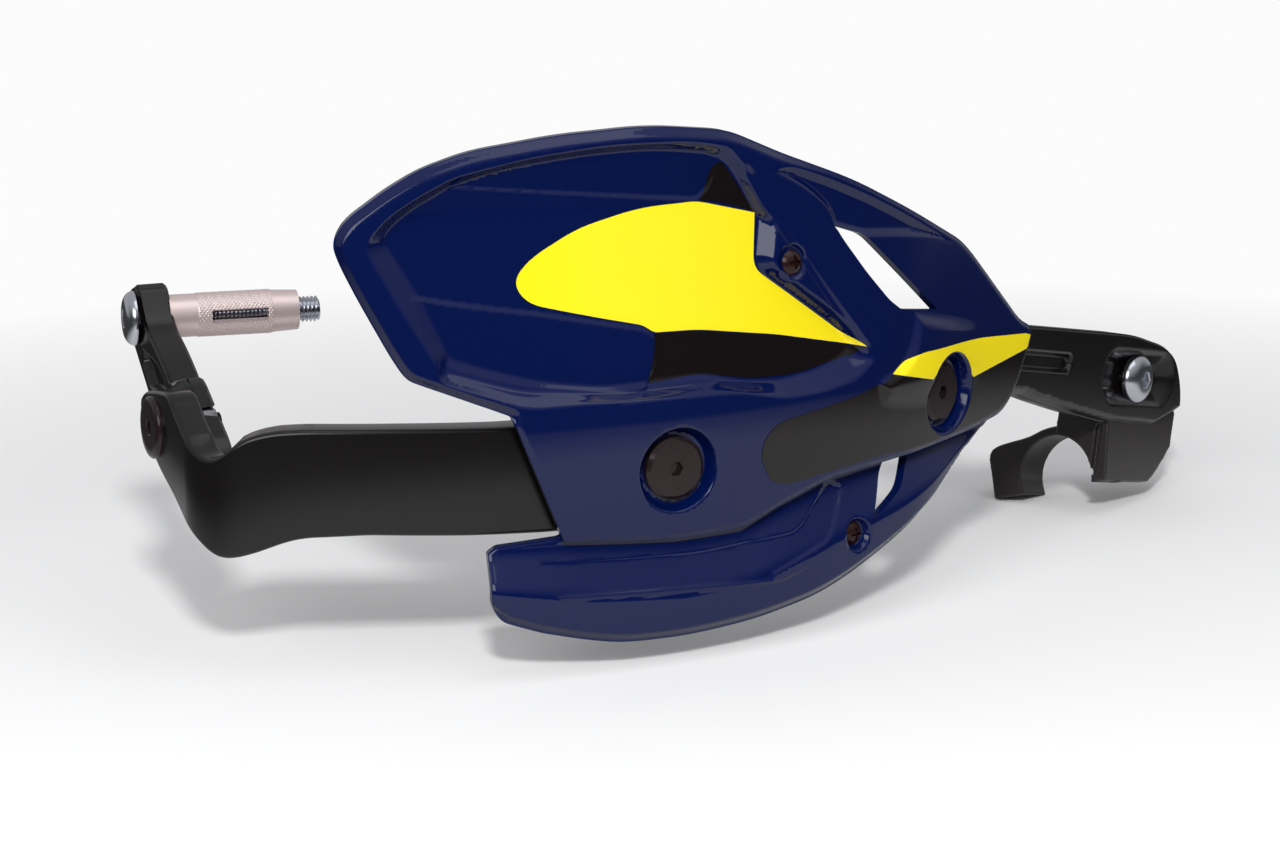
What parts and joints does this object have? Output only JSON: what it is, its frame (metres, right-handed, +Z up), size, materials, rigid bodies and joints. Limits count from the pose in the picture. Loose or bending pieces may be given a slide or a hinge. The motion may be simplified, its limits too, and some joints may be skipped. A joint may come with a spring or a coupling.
{
  "type": "motorcycle hand guard",
  "caption": "Hand guard for one side of a motorcycle handlebar: a black metal bar with a bar-end anchor and an inner clamp, carrying a glossy blue shield with plain yellow and black decals.",
  "frame": {"origin": "seat of the arm's eye on the bar-end anchor's axis, where the handlebar's end meets it", "axes": "+X inboard along the grip, +Y to the rear of the motorcycle, +Z up"},
  "size_m": [0.3699, 0.1816, 0.1575],
  "materials": {
    "black_bar": "satin black anodised",
    "black_bracket": "matte black",
    "bright_bolt": "bright zinc",
    "plain_sleeve": "plain, knurled",
    "black_bolt": "black oxide",
    "dark_screw": "dark",
    "dull_steel": "dull",
    "navy_moulding": "gloss",
    "yellow_decal": "gloss",
    "black_decal": "gloss"
  },
  "bodies": {
    "root": {"guard_bar": "black_bar", "bar_end_arm": "black_bar", "anchor_bolt": "bright_bolt", "anchor_sleeve": "plain_sleeve", "anchor_wedge": "plain_sleeve", "pivot_bolt": "black_bolt", "pivot_nut": "dull_steel", "clamp_bracket": "black_bracket", "clamp_bolt": "bright_bolt", "clamp_washer": "dull_steel", "clamp_nut": "dull_steel", "upper_shield": "navy_moulding", "lower_deflector": "navy_moulding", "outer_shield_bolt": "black_bolt", "inner_shield_bolt": "black_bolt", "outer_shield_bush": "dull_steel", "inner_shield_bush": "dull_steel", "outer_shield_nut": "dull_steel", "inner_shield_nut": "dull_steel", "wing_screw": "dark_screw", "tab_screw": "dark_screw", "wing_clip": "dull_steel", "tab_clip": "dull_steel", "wing_decal_yellow": "yellow_decal", "wing_decal_black": "black_decal", "band_decal_yellow": "yellow_decal", "band_decal_black": "black_decal"}
  },
  "joints": []
}
